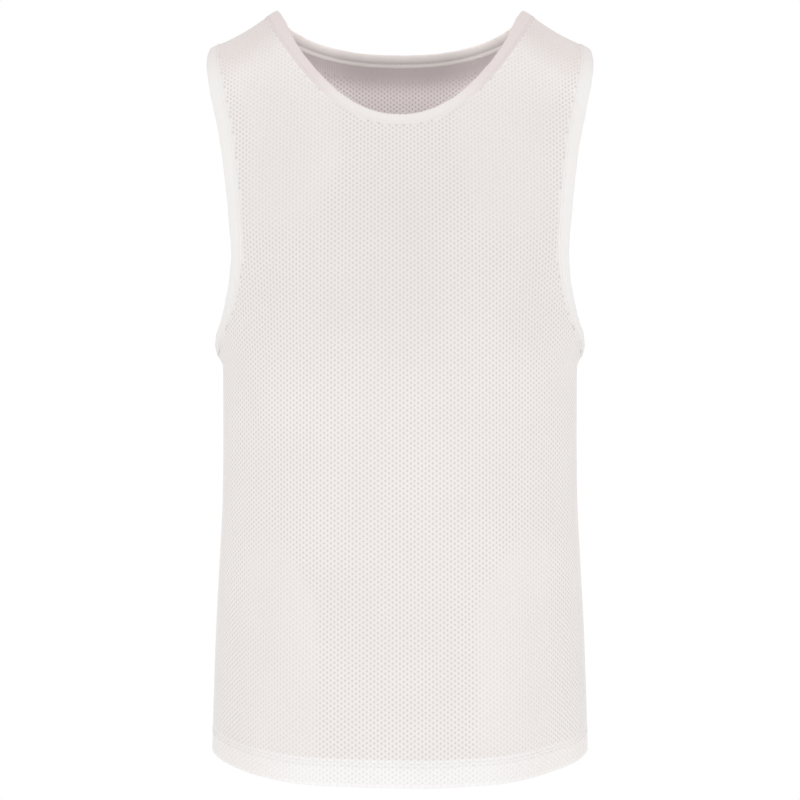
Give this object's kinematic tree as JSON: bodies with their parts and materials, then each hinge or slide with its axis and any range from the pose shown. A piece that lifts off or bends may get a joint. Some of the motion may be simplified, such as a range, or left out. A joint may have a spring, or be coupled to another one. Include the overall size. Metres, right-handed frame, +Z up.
{
  "type": "mesh training bib",
  "caption": "Sleeveless training bib of white net cloth, filled out as worn, with a bound round neck, bound armholes and a turned-up hem.",
  "frame": {"origin": "midway between the two shoulders, level with the middle of each strap's shoulder seam, where a wearer's shoulders hold it", "axes": "+Z up, the front faces -Y, +X to the right as seen from the front"},
  "size_m": [0.3728, 0.2448, 0.7152],
  "materials": {
    "net_cloth": "matt white knitted net with small round holes",
    "binding_cloth": "matt white fine plain knit"
  },
  "bodies": {
    "root": {"front_panel": "net_cloth", "back_panel": "net_cloth", "neck_binding": "binding_cloth", "armhole_binding_left": "binding_cloth", "armhole_binding_right": "binding_cloth"}
  },
  "joints": []
}
